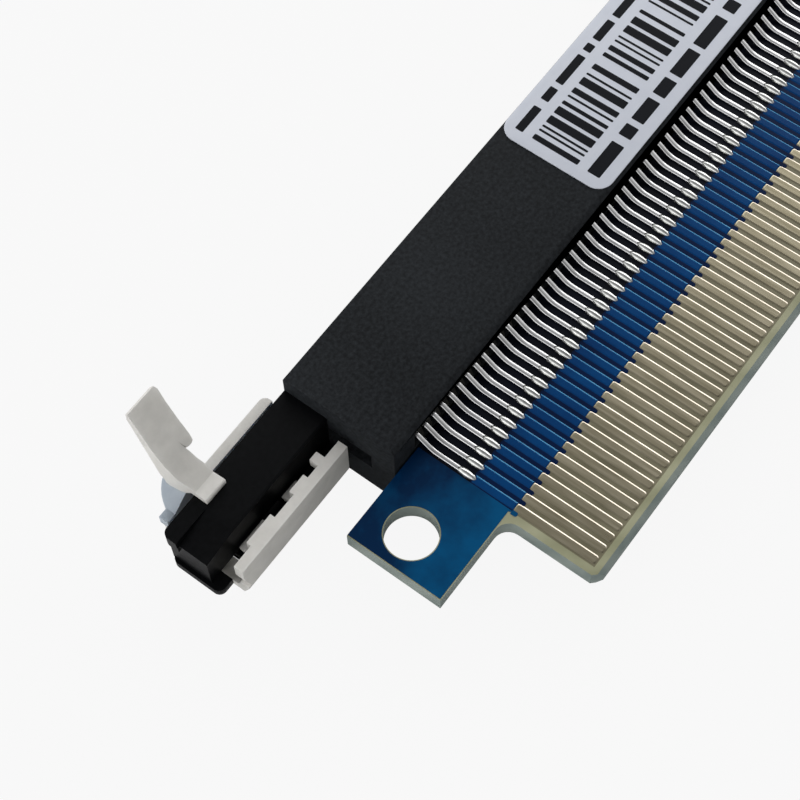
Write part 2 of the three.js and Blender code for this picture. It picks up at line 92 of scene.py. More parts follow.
# %% [markdown]
# The camera stands where the photograph was taken from: above the latch end, 64 degrees up, with a long lens.
# Its place and its three directions were worked out from the pitch of the leads
# and the corners of the housing.

# %% Camera
camera_data = bpy.data.cameras.new("camera")
camera = bpy.data.objects.new("camera", camera_data)
scene.collection.objects.link(camera)
camera_data.sensor_width = 36.0
camera_data.lens = 83.05
camera_data.clip_start = 0.005
camera_data.clip_end = 20.0
to_right = Vector((0.597776, -0.801520, -0.015160)).normalized()
forward = Vector((0.345517, 0.274660, -0.897318)).normalized()
upward = to_right.cross(forward)
turn = Matrix((to_right, upward, -forward)).transposed()
camera.matrix_world = Matrix.Translation(Vector((-85.842, -38.502, 124.888)) * MM) @ turn.to_4x4()
scene.camera = camera
print("camera at", tuple(round(c, 4) for c in camera.location))

# %% [markdown]
# Colours are written as they look on a screen, and one function turns them into the linear values
# that shaders use. One more function adds a node with its settings, its values and its links,
# so that a material reads from top to bottom.

# %% Colour and node helpers
def linear(code, alpha=1.0):
    parts = [int(code[i:i + 2], 16) / 255 for i in (1, 3, 5)]
    return tuple(p / 12.92 if p <= 0.04045 else ((p + 0.055) / 1.055) ** 2.4 for p in parts) + (alpha,)


def add_node(tree, kind, settings=None, values=None, links=None):
    node = tree.nodes.new(kind)
    for key, value in (settings or {}).items():
        setattr(node, key, value)
    for key, value in (values or {}).items():
        node.inputs[key].default_value = value
    for key, source in (links or {}).items():
        tree.links.new(source, node.inputs[key])
    return node


def new_material(name, **shader_values):
    material = bpy.data.materials.new(name)
    material.use_nodes = True
    tree = material.node_tree
    tree.nodes.clear()
    shader = add_node(tree, "ShaderNodeBsdfPrincipled", values={
        key.replace("_", " "): value for key, value in shader_values.items()})
    add_node(tree, "ShaderNodeOutputMaterial", links={"Surface": shader.outputs[0]})
    return material, tree, shader


def grains(size):
    """The scale of a texture whose grains are size millimetres across."""
    return 1.0 / (size * MM)


print("white is", linear("#ffffff"))

# %% [markdown]
# The light is that of a plain studio: a room with two bright side walls, a quiet ceiling
# and a dim wall by the camera. Metal shows what it faces, so the quiet ceiling keeps flat tops calm
# while sloping edges catch the bright walls.
# The whole room is large and even, so no highlight burns out on the thin leads.
# The camera sees the world as near white, as the photograph's background is.
# One soft lamp stands low beside the far end, where the wide faces don't mirror it to the camera.

# %% World
PAPER_WHITE = linear("#fafafa")
DIM_WALL = 0.3
SIDE_WALLS = 2.0
BETWEEN_WALLS = 0.75
world = bpy.data.worlds.new("studio")
scene.world = world
world.use_nodes = True
sky = world.node_tree
sky.nodes.clear()
way = add_node(sky, "ShaderNodeTexCoord")
parts = add_node(sky, "ShaderNodeSeparateXYZ", links={"Vector": way.outputs["Generated"]})
wall = add_node(sky, "ShaderNodeValToRGB", links={"Fac": parts.outputs["Z"]})
wall.color_ramp.elements[0].position = 0.35
wall.color_ramp.elements[0].color = (1.0, 1.0, 1.0, 1.0)
wall.color_ramp.elements[1].position = 0.9
wall.color_ramp.elements[1].color = (0.28, 0.28, 0.29, 1.0)
sideways = add_node(sky, "ShaderNodeMath", {"operation": "ABSOLUTE"}, links={0: parts.outputs["X"]})
sides = add_node(sky, "ShaderNodeMapRange", values={"To Min": BETWEEN_WALLS, "To Max": SIDE_WALLS},
                 links={"Value": sideways.outputs[0]})
depth = add_node(sky, "ShaderNodeMapRange",
                 values={"From Min": -0.9, "From Max": 0.2, "To Min": DIM_WALL, "To Max": 1.0},
                 links={"Value": parts.outputs["Y"]})
strength = add_node(sky, "ShaderNodeMath", {"operation": "MULTIPLY"},
                    links={0: sides.outputs["Result"], 1: depth.outputs["Result"]})
room = add_node(sky, "ShaderNodeBackground",
                links={"Color": wall.outputs["Color"], "Strength": strength.outputs[0]})
paper = add_node(sky, "ShaderNodeBackground", values={"Color": PAPER_WHITE, "Strength": 1.0})
ray = add_node(sky, "ShaderNodeLightPath")
both = add_node(sky, "ShaderNodeMixShader", links={
    "Fac": ray.outputs["Is Camera Ray"], 1: room.outputs[0], 2: paper.outputs[0]})
add_node(sky, "ShaderNodeOutputWorld", links={"Surface": both.outputs[0]})
scene.view_settings.view_transform = "Standard"
print("view transform:", scene.view_settings.view_transform)

# %% Lamp
LAMP_PLACE = (0.3, 0.1, 0.18)
LAMP_SIZE = (0.45, 0.3)
LAMP_POWER = 0.62
lamp_data = bpy.data.lights.new("large_softbox", "AREA")
lamp_data.shape = "RECTANGLE"
lamp_data.size, lamp_data.size_y = LAMP_SIZE
lamp_data.energy = LAMP_POWER
lamp = bpy.data.objects.new("large_softbox", lamp_data)
scene.collection.objects.link(lamp)
lamp.location = LAMP_PLACE
lamp.rotation_mode = "QUATERNION"
lamp.rotation_quaternion = (-lamp.location).to_track_quat("-Z", "Y")
print("the softbox gives", lamp_data.energy, "W")

# %% [markdown]
# The floor is a wide pale sheet. Most of what the camera sees of it is its own even white.
# The rest is lit like any paper, and that share keeps the soft shadow under the adapter.

# %% Floor
FLOOR_SIZE = 4.0
FLOOR_Z = -0.02
OWN_WHITE = 0.955
bpy.ops.object.select_all(action="DESELECT")
bpy.ops.mesh.primitive_plane_add(size=FLOOR_SIZE, location=(0, 0, FLOOR_Z * MM))
floor = bpy.context.active_object
floor.name = "floor"
floor_paper, tree, shader = new_material(
    "white_background_paper", Base_Color=linear("#e8e8e8"), Roughness=0.9)
glow = add_node(tree, "ShaderNodeEmission", values={"Color": PAPER_WHITE, "Strength": 1.0})
ray = add_node(tree, "ShaderNodeLightPath")
share = add_node(tree, "ShaderNodeMath", {"operation": "MULTIPLY"}, {1: OWN_WHITE},
                 {0: ray.outputs["Is Camera Ray"]})
paper_mix = add_node(tree, "ShaderNodeMixShader", links={
    "Fac": share.outputs[0], 1: shader.outputs[0], 2: glow.outputs[0]})
tree.links.new(paper_mix.outputs[0], tree.nodes["Material Output"].inputs["Surface"])
floor.data.materials.append(floor_paper)
print("floor in place")

# %% [markdown]
# Every piece starts from a primitive and is shaped in edit mode, as by hand.
# These helpers add a primitive between given limits in millimetres, open it for editing,
# and select its vertices, edges or faces by their place.

# %% Modelling helpers
WELD = 0.001 * MM


def activate(piece):
    bpy.ops.object.select_all(action="DESELECT")
    piece.select_set(True)
    bpy.context.view_layer.objects.active = piece


def settle(name):
    """Names the newest primitive and puts its place into its mesh."""
    piece = bpy.context.active_object
    piece.name = name
    piece.data.name = name
    bpy.ops.object.transform_apply(location=True, rotation=True, scale=True)
    return piece


def block(name, x, y, z):
    bpy.ops.object.select_all(action="DESELECT")
    bpy.ops.mesh.primitive_cube_add(
        size=1,
        location=[(a + b) / 2 * MM for a, b in (x, y, z)],
        scale=[(b - a) * MM for a, b in (x, y, z)])
    return settle(name)


def sheet(name, x, y, z):
    bpy.ops.object.select_all(action="DESELECT")
    bpy.ops.mesh.primitive_plane_add(
        size=1,
        location=((x[0] + x[1]) / 2 * MM, (y[0] + y[1]) / 2 * MM, z * MM))
    bpy.ops.transform.resize(value=((x[1] - x[0]) * MM, (y[1] - y[0]) * MM, 1))
    return settle(name)


def open_up(piece):
    activate(piece)
    bpy.ops.object.mode_set(mode="EDIT")
    bpy.ops.mesh.select_all(action="DESELECT")


def close_up():
    bpy.ops.object.mode_set(mode="OBJECT")


def pick(kind, test):
    """Selects the elements whose middle, in millimetres, passes the test."""
    bpy.ops.mesh.select_mode(type=kind)
    bpy.ops.mesh.select_all(action="DESELECT")
    data = bpy.context.edit_object.data
    shape = bmesh.from_edit_mesh(data)
    chosen = 0
    for element in {"VERT": shape.verts, "EDGE": shape.edges, "FACE": shape.faces}[kind]:
        points = [element.co] if kind == "VERT" else [v.co for v in element.verts]
        middle = sum(points, Vector()) / len(points) / MM
        if test(middle, element):
            element.select_set(True)
            chosen += 1
    shape.select_flush_mode()
    bmesh.update_edit_mesh(data)
    return chosen


def split(axis, value):
    """Cuts the whole piece along a plane across one axis."""
    bpy.ops.mesh.select_all(action="SELECT")
    place = [0.0, 0.0, 0.0]
    place[axis] = value * MM
    bpy.ops.mesh.bisect(plane_co=place, plane_no=[float(i == axis) for i in range(3)])


def near(a, b, slack=0.01):
    return abs(a - b) < slack


def apply_modifier(piece, kind, **settings):
    activate(piece)
    modifier = piece.modifiers.new("shape", kind)
    for key, value in settings.items():
        setattr(modifier, key, value)
    bpy.ops.object.modifier_apply(modifier=modifier.name)


def cut(piece, cutter):
    """Takes the cutter's shape out of the piece and removes the cutter."""
    apply_modifier(piece, "BOOLEAN", operation="DIFFERENCE", object=cutter, solver="EXACT")
    bpy.data.objects.remove(cutter)


def drill(name, x, y, radius):
    """A drill for a round hole through the board."""
    bpy.ops.object.select_all(action="DESELECT")
    bpy.ops.mesh.primitive_cylinder_add(
        vertices=64, radius=radius * MM, depth=4 * MM, location=(x * MM, y * MM, MID_Z * MM))
    return settle(name)


def copy_of(piece, name, matrix=None):
    twin = piece.copy()
    twin.data = piece.data.copy()
    twin.name = name
    twin.data.name = name
    scene.collection.objects.link(twin)
    if matrix is not None:
        twin.data.transform(matrix)
    return twin


def turned_over(piece, name):
    """A copy on the board's other face."""
    flip = Matrix.Translation((0, 0, 2 * MID_Z * MM)) @ Matrix.Scale(-1, 4, (0, 0, 1))
    twin = copy_of(piece, name, flip)
    open_up(twin)
    bpy.ops.mesh.select_all(action="SELECT")
    bpy.ops.mesh.flip_normals()
    close_up()
    return twin


def raise_all(height):
    """Extrudes the whole flat piece upwards by a height in millimetres."""
    bpy.ops.mesh.select_all(action="SELECT")
    bpy.ops.mesh.extrude_region_move(TRANSFORM_OT_translate={"value": (0, 0, height * MM)})


def tidy_normals(piece, angle=40):
    open_up(piece)
    bpy.ops.mesh.select_all(action="SELECT")
    bpy.ops.mesh.remove_doubles(threshold=WELD)
    bpy.ops.mesh.normals_make_consistent(inside=False)
    close_up()
    activate(piece)
    bpy.ops.object.shade_smooth_by_angle(angle=math.radians(angle))


def finish_piece(piece, body, slot, *materials):
    for material in materials:
        piece.data.materials.append(material)
    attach(piece, body)
    print(piece.name, "has", len(piece.data.polygons), "faces")
    return piece


def in_a_row(piece, count):
    """Repeats the piece along the connector, one pitch apart."""
    apply_modifier(piece, "ARRAY", count=count, use_relative_offset=False,
                   use_constant_offset=True, constant_offset_displace=(PITCH * MM, 0, 0))


def runs_of(piece, short_name):
    """Fills the long run with one piece that stands at its first place, and the short run with a copy."""
    short = copy_of(piece, short_name, Matrix.Translation(((FIRST_SHORT - FIRST_LONG) * MM, 0, 0)))
    in_a_row(piece, LONG_RUN)
    in_a_row(short, SHORT_RUN)
    return short


def join_into(piece, other):
    activate(other)
    piece.select_set(True)
    bpy.context.view_layer.objects.active = piece
    bpy.ops.object.join()


def both_runs(piece, name):
    """Fills both runs and makes them one piece with the given name."""
    join_into(piece, runs_of(piece, name + "_short"))
    piece.name = name


def paint_highlight_on_slopes(piece):
    """Gives the second material, a painted highlight, to the slopes that face away from the latch."""
    for face in piece.data.polygons:
        face.material_index = 1 if face.normal.x > 0.2 else 0


print("helpers ready")

# %% [markdown]
# The board is FR-4, woven glass cloth in epoxy resin, 1.6 mm thick.
# Bare laminate is olive over the copper inside and paler where there is none.
# Its sawn edge shows the cut glass and is greyer.
# The weave is finer than the render can show, so it is drawn at twice its real thread spacing.

# %% Bare laminate
def laminate(name, dark, light, roughness):
    material, tree, shader = new_material(name, Roughness=roughness, IOR=1.5)
    place = add_node(tree, "ShaderNodeTexCoord")
    cloud = add_node(tree, "ShaderNodeTexNoise", values={"Scale": grains(3.0), "Detail": 3.0},
                     links={"Vector": place.outputs["Object"]})
    threads = add_node(tree, "ShaderNodeTexWave", {"bands_direction": "DIAGONAL"},
                       {"Scale": grains(1.0) / 6.28, "Distortion": 1.5, "Detail": 1.0},
                       {"Vector": place.outputs["Object"]})
    blend = add_node(tree, "ShaderNodeMath", {"operation": "MULTIPLY_ADD"}, {1: 0.25},
                     {0: threads.outputs["Fac"], 2: cloud.outputs["Fac"]})
    tint = add_node(tree, "ShaderNodeValToRGB", links={"Fac": blend.outputs[0]})
    tint.color_ramp.elements[0].position = 0.35
    tint.color_ramp.elements[0].color = linear(dark)
    tint.color_ramp.elements[1].position = 0.85
    tint.color_ramp.elements[1].color = linear(light)
    bump = add_node(tree, "ShaderNodeBump", values={"Strength": 0.15, "Distance": 0.00002},
                    links={"Height": threads.outputs["Fac"]})
    tree.links.new(tint.outputs["Color"], shader.inputs["Base Color"])
    tree.links.new(bump.outputs["Normal"], shader.inputs["Normal"])
    return material


bare_laminate = laminate("fr4_laminate_bare", "#68634a", "#7f7a61", 0.42)
clear_laminate = laminate("fr4_laminate_bare_without_copper", "#8f9070", "#adad8e", 0.42)
sawn_laminate = laminate("fr4_laminate_sawn_edge", "#76837f", "#98a29b", 0.6)

# %% Board
NOTCH_HALF = 0.95
NOTCH_TOP = -13.16
TAB_FILLET = 1.2
NOTCH_FILLET = 0.94
TONGUE_CORNER = 0.65
PLUG_BEVEL = 0.35
HOLE = (-47.5, -8.63)
HOLE_RADIUS = 2.0
board = sheet("board_laminate", BOARD_X, BOARD_Y, BOARD_BOTTOM)
open_up(board)
for x in (-TONGUE_X, TONGUE_X, KEY_X - NOTCH_HALF, KEY_X + NOTCH_HALF):
    split(0, x)
for y in (TAB_BOTTOM, NOTCH_TOP):
    split(1, y)
# The waste beside the tongue and in the key notch
pick("FACE", lambda at, face: (abs(at.x) > TONGUE_X and at.y < TAB_BOTTOM)
     or (abs(at.x - KEY_X) < NOTCH_HALF and at.y < NOTCH_TOP))
bpy.ops.mesh.delete(type="FACE")
bpy.ops.mesh.select_all(action="SELECT")
bpy.ops.mesh.dissolve_limited(angle_limit=math.radians(1))
# Fillets where the tab meets the tongue, a round end for the notch, and cut corners
pick("VERT", lambda at, v: near(abs(at.x), TONGUE_X) and near(at.y, TAB_BOTTOM))
bpy.ops.mesh.bevel(offset=TAB_FILLET * MM, segments=6, affect="VERTICES")
pick("VERT", lambda at, v: near(abs(at.x - KEY_X), NOTCH_HALF) and near(at.y, NOTCH_TOP))
bpy.ops.mesh.bevel(offset=NOTCH_FILLET * MM, segments=6, affect="VERTICES")
pick("VERT", lambda at, v: near(abs(at.x), TONGUE_X) and near(at.y, BOARD_Y[0]))
bpy.ops.mesh.bevel(offset=TONGUE_CORNER * MM, segments=1, affect="VERTICES")
raise_all(BOARD_TOP - BOARD_BOTTOM)
bpy.ops.mesh.select_all(action="SELECT")
bpy.ops.mesh.normals_make_consistent(inside=False)
# The plug edge is bevelled on both faces
pick("EDGE", lambda at, e: near(at.y, BOARD_Y[0]) and abs(e.verts[0].co.z - e.verts[1].co.z) < 1e-7)
bpy.ops.mesh.bevel(offset=PLUG_BEVEL * MM, segments=1, affect="EDGES")
close_up()
cut(board, drill("drill", *HOLE, HOLE_RADIUS))
tidy_normals(board)
# Cut lines around the field of fingers
open_up(board)
split(0, FIELD_X)
split(1, FIELD_Y)
close_up()
finish_piece(board, "adapter", "circuit_board", bare_laminate, sawn_laminate, clear_laminate)
for face in board.data.polygons:
    beside = face.center.x < FIELD_X * MM or face.center.y < FIELD_Y * MM
    face.material_index = 1 if abs(face.normal.z) < 0.9 else 2 if beside else 0
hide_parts("edge_board")

# %% [markdown]
# The blue is solder mask, a thin epoxy film over the laminate and the copper.
# It stops a little short of the board's outline, so a pale rim of laminate shows.
# Between the fingers it reaches down in small rounded lobes.

# %% Solder mask finish
def mask_finish(name, deep, clear, roughness=0.3, shine=0.1, reflection_lean=0.0):
    material, tree, shader = new_material(name, Roughness=roughness, IOR=1.52, Specular_IOR_Level=shine)
    place = add_node(tree, "ShaderNodeTexCoord")
    cloud = add_node(tree, "ShaderNodeTexNoise",
                     values={"Scale": grains(4.0), "Detail": 4.0, "Roughness": 0.6},
                     links={"Vector": place.outputs["Object"]})
    spot = add_node(tree, "ShaderNodeSeparateXYZ", links={"Vector": place.outputs["Object"]})
    # reflection_lean makes the blue lighter towards the plug edge: a painted reflection.
    down = add_node(tree, "ShaderNodeMapRange",
                    values={"From Min": -7.0 * MM, "From Max": -13.0 * MM, "To Min": -reflection_lean, "To Max": reflection_lean},
                    links={"Value": spot.outputs["Y"]})
    blend = add_node(tree, "ShaderNodeMath", {"operation": "ADD"}, links={
        0: cloud.outputs["Fac"], 1: down.outputs["Result"]})
    tint = add_node(tree, "ShaderNodeValToRGB", links={"Fac": blend.outputs[0]})
    tint.color_ramp.elements[0].position = 0.3
    tint.color_ramp.elements[0].color = linear(deep)
    tint.color_ramp.elements[1].position = 0.75
    tint.color_ramp.elements[1].color = linear(clear)
    peel = add_node(tree, "ShaderNodeTexNoise", values={"Scale": grains(0.5), "Detail": 2.0},
                    links={"Vector": place.outputs["Object"]})
    bump = add_node(tree, "ShaderNodeBump", values={"Strength": 0.08, "Distance": 0.00002},
                    links={"Height": peel.outputs["Fac"]})
    tree.links.new(tint.outputs["Color"], shader.inputs["Base Color"])
    tree.links.new(bump.outputs["Normal"], shader.inputs["Normal"])
    return material


mask_over_laminate = mask_finish("solder_mask_blue_over_laminate", "#001436", "#001d46")
mask_over_copper = mask_finish("solder_mask_blue_over_copper", "#003468", "#00447c")
# The lighter blue for the ridges' shoulders that face away from the latch is a painted highlight.
mask_painted_highlight = mask_finish("solder_mask_blue_painted_highlight", "#2a7cae", "#4a98c4")
# The tab's blue over the ground copper grows lighter towards the plug edge, a painted reflection.
mask_on_tab = mask_finish("solder_mask_blue_on_ground_copper_with_painted_reflection", "#00264a", "#00507e", reflection_lean=0.15)
# The near-black mask between the leads, from the pads up to the housing, is painted shade.
mask_painted_shade_by_leads = mask_finish("solder_mask_blue_painted_shade_by_leads", "#03060f", "#070d20", 0.4, 0.1)
print("mask finishes ready")

# %% Solder mask
MASK_RIM = 0.08
MASK_FILM = 0.03
STRIP_X = 42.1
STRIP_CORNER = 0.25
TAB_COPPER_X = -41.86
PADS_Y = -9.6
mask_x = (BOARD_X[0] + MASK_RIM, BOARD_X[1] - MASK_RIM)
mask_y = (TAB_BOTTOM + MASK_RIM, BOARD_Y[1])
mask = sheet("solder_mask_front", mask_x, mask_y, BOARD_TOP)
open_up(mask)
for x in (-STRIP_X, STRIP_X):
    split(0, x)
pick("EDGE", lambda at, e: near(at.y, mask_y[0]) and abs(at.x) < STRIP_X - 1)
bpy.ops.mesh.extrude_region_move(TRANSFORM_OT_translate={"value": (0, (MASK_LINE - mask_y[0]) * MM, 0)})
bpy.ops.mesh.select_all(action="SELECT")
bpy.ops.mesh.dissolve_limited(angle_limit=math.radians(1))
pick("VERT", lambda at, v: near(abs(at.x), STRIP_X) and near(at.y, MASK_LINE))
bpy.ops.mesh.bevel(offset=STRIP_CORNER * MM, segments=4, affect="VERTICES")
raise_all(MASK_FILM)
close_up()
cut(mask, drill("mask_drill", *HOLE, HOLE_RADIUS + MASK_RIM))
# Cut lines where the ground copper of the tab begins, and by the row of pads, where the painted shade by the
# leads begins
open_up(mask)
split(0, TAB_COPPER_X)
split(1, PADS_Y)
close_up()
tidy_normals(mask)

# One lobe between two fingers, rounded at its free end
LOBE_X = (FIRST_LONG - 0.68, FIRST_LONG - 0.32)
LOBE_Y = (MASK_LINE - 0.48, MASK_LINE + 0.02)
lobe = sheet("mask_lobe", LOBE_X, LOBE_Y, BOARD_TOP)
open_up(lobe)
pick("VERT", lambda at, v: at.y < MASK_LINE - 0.3)
bpy.ops.mesh.bevel(offset=0.15 * MM, segments=3, affect="VERTICES")
raise_all(MASK_FILM - 0.001)
close_up()
tidy_normals(lobe)
both_runs(lobe, "mask_lobe")
join_into(mask, lobe)
# Past PADS_Y, by the leads, the mask takes the near-black painted shade; the tab takes the ground copper's
# blue.
for piece in (mask, turned_over(mask, "solder_mask_back")):
    finish_piece(piece, "adapter", "circuit_board", mask_over_laminate, mask_on_tab, mask_painted_shade_by_leads)
    for face in piece.data.polygons:
        if face.center.x < TAB_COPPER_X * MM:
            face.material_index = 1
        elif face.center.y > PADS_Y * MM:
            face.material_index = 2

# %% [markdown]
# A copper track runs from each pad to its finger. The mask rises over it as a low ridge.
# The shoulders that face away from the latch are given a lighter blue, a painted highlight, while the ridge's
# top has the blue of mask over copper.

# %% Tracks under the mask
TRACK_HALF = 0.33
TRACK_TOP_Y = -9.7
track_x = (FIRST_LONG - TRACK_HALF, FIRST_LONG + TRACK_HALF)
track = sheet("tracks_front", track_x, (MASK_LINE, TRACK_TOP_Y), BOARD_TOP + MASK_FILM)
open_up(track)
bpy.ops.mesh.select_all(action="SELECT")
bpy.ops.mesh.inset(thickness=0.1 * MM, depth=0.045 * MM)
close_up()
tidy_normals(track, 20)
both_runs(track, "tracks_front")
for piece in (track, turned_over(track, "tracks_back")):
    finish_piece(piece, "adapter", "circuit_board", mask_over_copper, mask_painted_highlight)
    paint_highlight_on_slopes(piece)

# %% [markdown]
# The fingers are etched copper with a plated, slightly warm silver finish.
# Etching leaves their sides sloping, and the slopes that face away from the latch get a lighter metal, a
# painted highlight of fine bright lines.
# Wear from plugging in leaves faint scratches along each finger.

# %% Plated metal finishes
def plated(name, dark, light, roughness, grain, streak):
    material, tree, shader = new_material(name, Metallic=1.0)
    place = add_node(tree, "ShaderNodeTexCoord")
    stretch = add_node(tree, "ShaderNodeMapping", values={"Scale": (1.0, streak, 1.0)},
                       links={"Vector": place.outputs["Object"]})
    cloud = add_node(tree, "ShaderNodeTexNoise", values={"Scale": grains(grain), "Detail": 3.0},
                     links={"Vector": stretch.outputs["Vector"]})
    tint = add_node(tree, "ShaderNodeValToRGB", links={"Fac": cloud.outputs["Fac"]})
    tint.color_ramp.elements[0].position = 0.35
    tint.color_ramp.elements[0].color = linear(dark)
    tint.color_ramp.elements[1].position = 0.7
    tint.color_ramp.elements[1].color = linear(light)
    gloss = add_node(tree, "ShaderNodeMapRange",
                     values={"To Min": roughness - 0.06, "To Max": roughness + 0.08},
                     links={"Value": cloud.outputs["Fac"]})
    tree.links.new(tint.outputs["Color"], shader.inputs["Base Color"])
    tree.links.new(gloss.outputs["Result"], shader.inputs["Roughness"])
    return material


finger_metal = plated("nickel_plated_copper_fingers", "#a0987f", "#b5ad95", 0.3, 0.3, 0.08)
# The lighter metal for the fingers' slopes that face away from the latch is a painted highlight.
finger_painted_highlight = plated("nickel_plated_copper_painted_highlight", "#b6ad9f", "#ccc3b6", 0.3, 0.3, 0.08)
lead_metal = plated("tinned_copper_alloy_leads", "#d2d2d2", "#eeeeee", 0.26, 1.2, 0.3)
solder_metal = plated("reflowed_solder", "#c4c6c2", "#e6e6e4", 0.2, 0.3, 1.0)
print("metal finishes ready")

# %% Contact fingers
FINGER_HALF = 0.35
FINGER_LENGTH = 6.9
FINGER_FOOT = 0.01
finger_x = (FIRST_LONG - FINGER_HALF, FIRST_LONG + FINGER_HALF)
finger = sheet("fingers_front", finger_x, (MASK_LINE - FINGER_LENGTH, MASK_LINE), BOARD_TOP)
open_up(finger)
pick("VERT", lambda at, v: True)
bpy.ops.mesh.bevel(offset=0.2 * MM, segments=3, affect="VERTICES")
raise_all(FINGER_FOOT)
pick("FACE", lambda at, face: at.z > BOARD_TOP + FINGER_FOOT - 0.001)
bpy.ops.mesh.inset(thickness=0.1 * MM, depth=0.04 * MM)
close_up()
tidy_normals(finger, 20)
both_runs(finger, "fingers_front")
for piece in (finger, turned_over(finger, "fingers_back")):
    finish_piece(piece, "adapter", "circuit_board", finger_metal, finger_painted_highlight)
    paint_highlight_on_slopes(piece)

# %% [markdown]
# Each contact is a stamped strip. Its tail comes out under the housing, slopes down to the board,
# bends at the knee and lies flat on its pad. Inside the housing the strip runs on to the card.
# A ribbon is drawn along the path and thickened, and its long edges are rounded as a stamping's are.

# %% Leads
LEAD_HALF = 0.2
LEAD_THICK = 0.2
LEAD_EDGE = 0.09
# Places along the path, each its Y and its height
path = [
    (-9.70, 4.97), (-6.6, 4.97), (-6.3, 4.99), (-6.05, 5.06), (-5.8, 5.16),
    (-4.92, 5.76), (-4.74, 5.86), (-4.5, 5.88), (1.9, 5.07), (2.4, 4.96), (2.62, 5.0),
]
lead = sheet("lead", (FIRST_LONG - LEAD_HALF, FIRST_LONG + LEAD_HALF), (path[0][0], path[1][0]), path[0][1])
open_up(lead)
pick("EDGE", lambda at, e: near(at.y, path[1][0]))
for before, after in zip(path[1:], path[2:]):
    bpy.ops.mesh.extrude_region_move(TRANSFORM_OT_translate={
        "value": (0, (after[0] - before[0]) * MM, (after[1] - before[1]) * MM)})
close_up()
apply_modifier(lead, "SOLIDIFY", thickness=LEAD_THICK * MM, offset=0.0, use_even_offset=True)
open_up(lead)
bpy.ops.mesh.select_all(action="SELECT")
bpy.ops.mesh.normals_make_consistent(inside=False)
pick("EDGE", lambda at, e: near(*(v.co.x / MM for v in e.verts))
     and not near(*(v.co.y / MM for v in e.verts)))
bpy.ops.mesh.bevel(offset=LEAD_EDGE * MM, segments=2, affect="EDGES")
close_up()
tidy_normals(lead, 60)
lead_short = runs_of(lead, "leads_front_short")
lead.name = "leads_front_long"
rows = {
    "front_contacts_long": lead,
    "front_contacts_short": lead_short,
    "back_contacts_long": turned_over(lead, "leads_back_long"),
    "back_contacts_short": turned_over(lead_short, "leads_back_short"),
}
for node, piece in rows.items():
    finish_piece(piece, "adapter", "tinned_contacts", lead_metal)
    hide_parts(node)

# %% [markdown]
# Each tail is soldered to its pad.
# The joint is a low rounded bead over the tail's end, wider than the tail.
# Half of a squashed sphere gives the bead, with its flat side on the board.

# %% Solder joints
BEAD_SIZE = (0.31, 0.92, 0.34)
BEAD_Y = -9.02
BEAD_LIFT = 0.01
BEAD_CUT = 0.012
bpy.ops.object.select_all(action="DESELECT")
bpy.ops.mesh.primitive_uv_sphere_add(segments=12, ring_count=8, radius=1)
bpy.ops.transform.resize(value=[size * MM for size in BEAD_SIZE])
bpy.ops.transform.translate(value=(FIRST_LONG * MM, BEAD_Y * MM, (BOARD_TOP + BEAD_LIFT) * MM))
solder = settle("solder_front")
open_up(solder)
bpy.ops.mesh.select_all(action="SELECT")
bpy.ops.mesh.bisect(plane_co=(0, 0, (BOARD_TOP + BEAD_CUT) * MM), plane_no=(0, 0, 1),
                    clear_inner=True, use_fill=True)
close_up()
tidy_normals(solder, 60)
both_runs(solder, "solder_front")
for piece in (solder, turned_over(solder, "solder_back")):
    finish_piece(piece, "adapter", "tinned_contacts", solder_metal)

# %% [markdown]
# The housing, the latch base and the latch are moulded plastic.
# Their CAD shapes are right, so each is copied, its flat faces are made whole again,
# and its corners get the small radius that a mould leaves, which catches a thin line of light.
# The white latch lets some light in, and its foot is given a bluer, greyer nylon, a painted shade.

# %% Moulded plastic finishes
def moulded(name, dark, light, grain, roughness, bump_height, shine=0.5):
    material, tree, shader = new_material(name, IOR=1.5, Specular_IOR_Level=shine)
    place = add_node(tree, "ShaderNodeTexCoord")
    cloud = add_node(tree, "ShaderNodeTexNoise",
                     values={"Scale": grains(grain), "Detail": 3.0, "Roughness": 0.6},
                     links={"Vector": place.outputs["Object"]})
    broad = add_node(tree, "ShaderNodeTexNoise", values={"Scale": grains(12.0), "Detail": 1.0},
                     links={"Vector": place.outputs["Object"]})
    blend = add_node(tree, "ShaderNodeMath", {"operation": "MULTIPLY_ADD"}, {1: 0.4},
                     {0: broad.outputs["Fac"], 2: cloud.outputs["Fac"]})
    tint = add_node(tree, "ShaderNodeValToRGB", links={"Fac": blend.outputs[0]})
    tint.color_ramp.elements[0].position = 0.55
    tint.color_ramp.elements[0].color = linear(dark)
    tint.color_ramp.elements[1].position = 0.95
    tint.color_ramp.elements[1].color = linear(light)
    gloss = add_node(tree, "ShaderNodeMapRange",
                     values={"To Min": roughness - 0.05, "To Max": roughness + 0.08},
                     links={"Value": cloud.outputs["Fac"]})
    bump = add_node(tree, "ShaderNodeBump", values={"Strength": 0.3, "Distance": bump_height * MM},
                    links={"Height": cloud.outputs["Fac"]})
    tree.links.new(tint.outputs["Color"], shader.inputs["Base Color"])
    tree.links.new(gloss.outputs["Result"], shader.inputs["Roughness"])
    tree.links.new(bump.outputs["Normal"], shader.inputs["Normal"])
    return material


